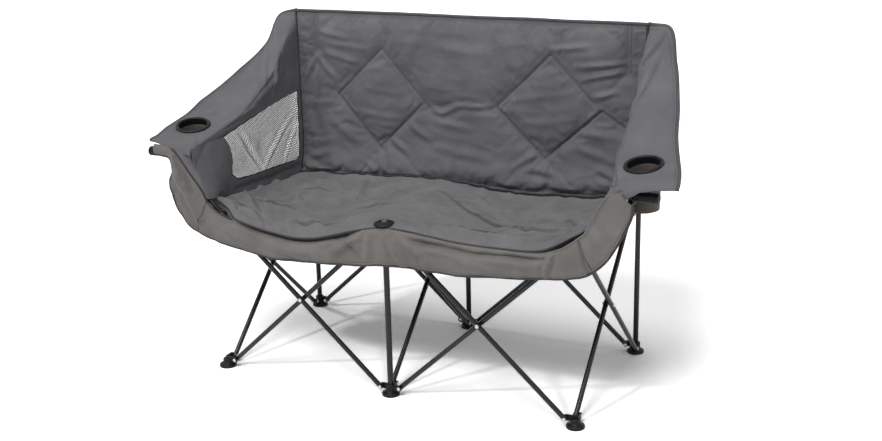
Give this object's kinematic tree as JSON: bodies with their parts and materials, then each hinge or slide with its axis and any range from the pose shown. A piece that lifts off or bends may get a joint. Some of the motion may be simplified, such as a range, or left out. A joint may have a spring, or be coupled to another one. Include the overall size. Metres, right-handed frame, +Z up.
{
  "type": "folding two-seat camping chair",
  "caption": "Folding camping loveseat: scissor frame of steel tubes, padded cloth seat and back, sling arms with cup holders and mesh sides, front skirt.",
  "frame": {"origin": "on the ground under the middle of the opened chair", "axes": "+X to the right as seen from the front, +Y from the front edge towards the back, +Z up"},
  "size_m": [1.4492, 0.5724, 0.944],
  "materials": {
    "coated_steel": "dark grey powder coat, semi-gloss",
    "black_plastic": "moulded, fine grain",
    "rivet_steel": "bare rivet heads",
    "seat_cloth": "coated polyester weave",
    "quilted_cloth": "padded polyester weave, sewn in diamonds",
    "arm_cloth": "coated polyester weave",
    "mesh_cloth": "open polyester mesh",
    "pouch_cloth": "thin polyester"
  },
  "bodies": {
    "front_middle": {"foot_front_middle": "black_plastic", "front_post_outer": "coated_steel"},
    "arm_leg_left": {"arm_leg_left": "coated_steel", "arm_end_left": "black_plastic", "rivet_front_left": "rivet_steel"},
    "arm_leg_right": {"arm_leg_right": "coated_steel", "arm_end_right": "black_plastic", "rivet_front_right": "rivet_steel"},
    "middle_brace_front": {"middle_brace_front": "coated_steel", "rivet_middle": "rivet_steel"},
    "front_brace_left": {"front_brace_left": "coated_steel"},
    "front_brace_right": {"front_brace_right": "coated_steel"},
    "middle_brace_rear": {"middle_brace_rear": "coated_steel"},
    "front_left": {"foot_front_left": "black_plastic"},
    "front_right": {"foot_front_right": "black_plastic"},
    "rear_middle": {"foot_rear_middle": "black_plastic", "rear_post_middle": "coated_steel", "back_panel": "quilted_cloth"},
    "hub_front_left": {"hub_front_left": "black_plastic"},
    "hub_front_right": {"hub_front_right": "black_plastic"},
    "hub_front_middle": {"hub_front_middle": "black_plastic", "front_post_inner": "coated_steel", "seat_cap": "black_plastic", "front_skirt": "seat_cloth"},
    "hub_rear_middle": {"hub_rear_middle": "black_plastic"},
    "side_brace_left_front": {"side_brace_left_front": "coated_steel", "rivet_side_left": "rivet_steel"},
    "side_brace_right_front": {"side_brace_right_front": "coated_steel", "rivet_side_right": "rivet_steel"},
    "side_brace_left_rear": {"side_brace_left_rear": "coated_steel"},
    "side_brace_right_rear": {"side_brace_right_rear": "coated_steel"},
    "rear_left": {"foot_rear_left": "black_plastic", "rear_post_left": "coated_steel", "post_pocket_left": "seat_cloth", "arm_left": "arm_cloth", "side_panel_left": "arm_cloth", "mesh_left": "mesh_cloth"},
    "rear_right": {"foot_rear_right": "black_plastic", "rear_post_right": "coated_steel", "post_pocket_right": "seat_cloth", "arm_right": "arm_cloth", "side_panel_right": "arm_cloth", "mesh_right": "mesh_cloth"},
    "hub_rear_left": {"hub_rear_left": "black_plastic"},
    "hub_rear_right": {"hub_rear_right": "black_plastic"},
    "rear_brace_left_inner": {"rear_brace_left_inner": "coated_steel", "rivet_rear_left": "rivet_steel"},
    "rear_brace_right_inner": {"rear_brace_right_inner": "coated_steel", "rivet_rear_right": "rivet_steel"},
    "rear_brace_left_outer": {"rear_brace_left_outer": "coated_steel"},
    "rear_brace_right_outer": {"rear_brace_right_outer": "coated_steel"},
    "seat_left": {"seat_left": "seat_cloth"},
    "seat_right": {"seat_right": "seat_cloth"},
    "cup_left": {"cup_ring_left": "black_plastic", "cup_pouch_left": "pouch_cloth"},
    "cup_right": {"cup_ring_right": "black_plastic", "cup_pouch_right": "pouch_cloth"}
  },
  "joints": [
    {"name": "fold", "type": "hinge", "parent": "front_middle", "child": "arm_leg_left", "pos_m": [-0.026, -0.25705, 0.022], "axis": [0, 1, 0], "range_deg": [0, 41], "deforming": ["seat_left", "seat_right", "back_panel", "front_skirt", "arm_left", "arm_right", "side_panel_left", "side_panel_right", "mesh_left", "mesh_right"]},
    {"name": "arm_leg_right_foot", "type": "hinge", "parent": "front_middle", "child": "arm_leg_right", "pos_m": [0.026, -0.25705, 0.022], "axis": [0, -1, 0], "range_deg": [0, 41]},
    {"name": "middle_front_foot", "type": "hinge", "parent": "front_middle", "child": "middle_brace_front", "pos_m": [0, -0.23105, 0.022], "axis": [1, 0, 0], "range_deg": [0, 41]},
    {"name": "front_left_cross", "type": "hinge", "parent": "arm_leg_left", "child": "front_brace_left", "pos_m": [-0.26, -0.25705, 0.238], "axis": [0, -1, 0], "range_deg": [0, 82]},
    {"name": "front_right_cross", "type": "hinge", "parent": "arm_leg_right", "child": "front_brace_right", "pos_m": [0.26, -0.25705, 0.238], "axis": [0, 1, 0], "range_deg": [0, 82]},
    {"name": "middle_cross", "type": "hinge", "parent": "middle_brace_front", "child": "middle_brace_rear", "pos_m": [0, 0.00295, 0.238], "axis": [-1, 0, 0], "range_deg": [0, 82]},
    {"name": "front_left_foot", "type": "hinge", "parent": "front_brace_left", "child": "front_left", "pos_m": [-0.494, -0.25705, 0.022], "axis": [0, 1, 0], "range_deg": [0, 41]},
    {"name": "front_right_foot", "type": "hinge", "parent": "front_brace_right", "child": "front_right", "pos_m": [0.494, -0.25705, 0.022], "axis": [0, -1, 0], "range_deg": [0, 41]},
    {"name": "rear_middle_foot", "type": "hinge", "parent": "middle_brace_rear", "child": "rear_middle", "pos_m": [0, 0.23695, 0.022], "axis": [1, 0, 0], "range_deg": [0, 41]},
    {"name": "front_left_hub", "type": "hinge", "parent": "arm_leg_left", "child": "hub_front_left", "pos_m": [-0.494, -0.25705, 0.454], "axis": [0, -1, 0], "range_deg": [0, 41]},
    {"name": "front_right_hub", "type": "hinge", "parent": "arm_leg_right", "child": "hub_front_right", "pos_m": [0.494, -0.25705, 0.454], "axis": [0, 1, 0], "range_deg": [0, 41]},
    {"name": "front_middle_hub", "type": "hinge", "parent": "front_brace_left", "child": "hub_front_middle", "pos_m": [-0.026, -0.25705, 0.454], "axis": [0, 1, 0], "range_deg": [0, 41]},
    {"name": "rear_middle_hub", "type": "hinge", "parent": "middle_brace_front", "child": "hub_rear_middle", "pos_m": [0, 0.23695, 0.454], "axis": [-1, 0, 0], "range_deg": [0, 41]},
    {"name": "side_left_foot", "type": "hinge", "parent": "front_left", "child": "side_brace_left_front", "pos_m": [-0.52, -0.23105, 0.022], "axis": [1, 0, 0], "range_deg": [0, 41]},
    {"name": "side_right_foot", "type": "hinge", "parent": "front_right", "child": "side_brace_right_front", "pos_m": [0.52, -0.23105, 0.022], "axis": [1, 0, 0], "range_deg": [0, 41]},
    {"name": "side_left_cross", "type": "hinge", "parent": "side_brace_left_front", "child": "side_brace_left_rear", "pos_m": [-0.52, 0.00295, 0.238], "axis": [-1, 0, 0], "range_deg": [0, 82]},
    {"name": "side_right_cross", "type": "hinge", "parent": "side_brace_right_front", "child": "side_brace_right_rear", "pos_m": [0.52, 0.00295, 0.238], "axis": [-1, 0, 0], "range_deg": [0, 82]},
    {"name": "rear_left_foot", "type": "hinge", "parent": "side_brace_left_rear", "child": "rear_left", "pos_m": [-0.52, 0.23695, 0.022], "axis": [1, 0, 0], "range_deg": [0, 41]},
    {"name": "rear_right_foot", "type": "hinge", "parent": "side_brace_right_rear", "child": "rear_right", "pos_m": [0.52, 0.23695, 0.022], "axis": [1, 0, 0], "range_deg": [0, 41]},
    {"name": "rear_left_hub", "type": "hinge", "parent": "side_brace_left_front", "child": "hub_rear_left", "pos_m": [-0.52, 0.23695, 0.454], "axis": [-1, 0, 0], "range_deg": [0, 41]},
    {"name": "rear_right_hub", "type": "hinge", "parent": "side_brace_right_front", "child": "hub_rear_right", "pos_m": [0.52, 0.23695, 0.454], "axis": [-1, 0, 0], "range_deg": [0, 41]},
    {"name": "rear_inner_left_foot", "type": "hinge", "parent": "rear_middle", "child": "rear_brace_left_inner", "pos_m": [-0.026, 0.26295, 0.022], "axis": [0, 1, 0], "range_deg": [0, 41]},
    {"name": "rear_inner_right_foot", "type": "hinge", "parent": "rear_middle", "child": "rear_brace_right_inner", "pos_m": [0.026, 0.26295, 0.022], "axis": [0, -1, 0], "range_deg": [0, 41]},
    {"name": "rear_left_cross", "type": "hinge", "parent": "rear_brace_left_inner", "child": "rear_brace_left_outer", "pos_m": [-0.26, 0.26295, 0.238], "axis": [0, -1, 0], "range_deg": [0, 82]},
    {"name": "rear_right_cross", "type": "hinge", "parent": "rear_brace_right_inner", "child": "rear_brace_right_outer", "pos_m": [0.26, 0.26295, 0.238], "axis": [0, 1, 0], "range_deg": [0, 82]},
    {"name": "seat_left_drop", "type": "hinge", "parent": "hub_front_middle", "child": "seat_left", "pos_m": [-0.0004, -0.25705, 0.47], "axis": [0, -1, 0], "range_deg": [0, 82]},
    {"name": "seat_right_drop", "type": "hinge", "parent": "hub_front_middle", "child": "seat_right", "pos_m": [0.0004, -0.25705, 0.47], "axis": [0, 1, 0], "range_deg": [0, 82]},
    {"name": "cup_left_gather", "type": "slide", "parent": "rear_left", "child": "cup_left", "axis": [0, 1, 0], "range_m": [0, 0.32]},
    {"name": "cup_right_gather", "type": "slide", "parent": "rear_right", "child": "cup_right", "axis": [0, 1, 0], "range_m": [0, 0.32]}
  ],
  "couplings": [
    {"joint": "arm_leg_right_foot", "follows": "fold", "ratio": 1},
    {"joint": "middle_front_foot", "follows": "fold", "ratio": 1},
    {"joint": "front_left_cross", "follows": "fold", "ratio": 2},
    {"joint": "front_right_cross", "follows": "fold", "ratio": 2},
    {"joint": "middle_cross", "follows": "fold", "ratio": 2},
    {"joint": "front_left_foot", "follows": "fold", "ratio": 1},
    {"joint": "front_right_foot", "follows": "fold", "ratio": 1},
    {"joint": "rear_middle_foot", "follows": "fold", "ratio": 1},
    {"joint": "front_left_hub", "follows": "fold", "ratio": 1},
    {"joint": "front_right_hub", "follows": "fold", "ratio": 1},
    {"joint": "front_middle_hub", "follows": "fold", "ratio": 1},
    {"joint": "rear_middle_hub", "follows": "fold", "ratio": 1},
    {"joint": "side_left_foot", "follows": "fold", "ratio": 1},
    {"joint": "side_right_foot", "follows": "fold", "ratio": 1},
    {"joint": "side_left_cross", "follows": "fold", "ratio": 2},
    {"joint": "side_right_cross", "follows": "fold", "ratio": 2},
    {"joint": "rear_left_foot", "follows": "fold", "ratio": 1},
    {"joint": "rear_right_foot", "follows": "fold", "ratio": 1},
    {"joint": "rear_left_hub", "follows": "fold", "ratio": 1},
    {"joint": "rear_right_hub", "follows": "fold", "ratio": 1},
    {"joint": "rear_inner_left_foot", "follows": "fold", "ratio": 1},
    {"joint": "rear_inner_right_foot", "follows": "fold", "ratio": 1},
    {"joint": "rear_left_cross", "follows": "fold", "ratio": 2},
    {"joint": "rear_right_cross", "follows": "fold", "ratio": 2},
    {"joint": "seat_left_drop", "follows": "fold", "ratio": 2},
    {"joint": "seat_right_drop", "follows": "fold", "ratio": 2},
    {"joint": "cup_left_gather", "follows": "fold", "m_per_rad": 0.44579},
    {"joint": "cup_right_gather", "follows": "fold", "m_per_rad": 0.44579}
  ]
}
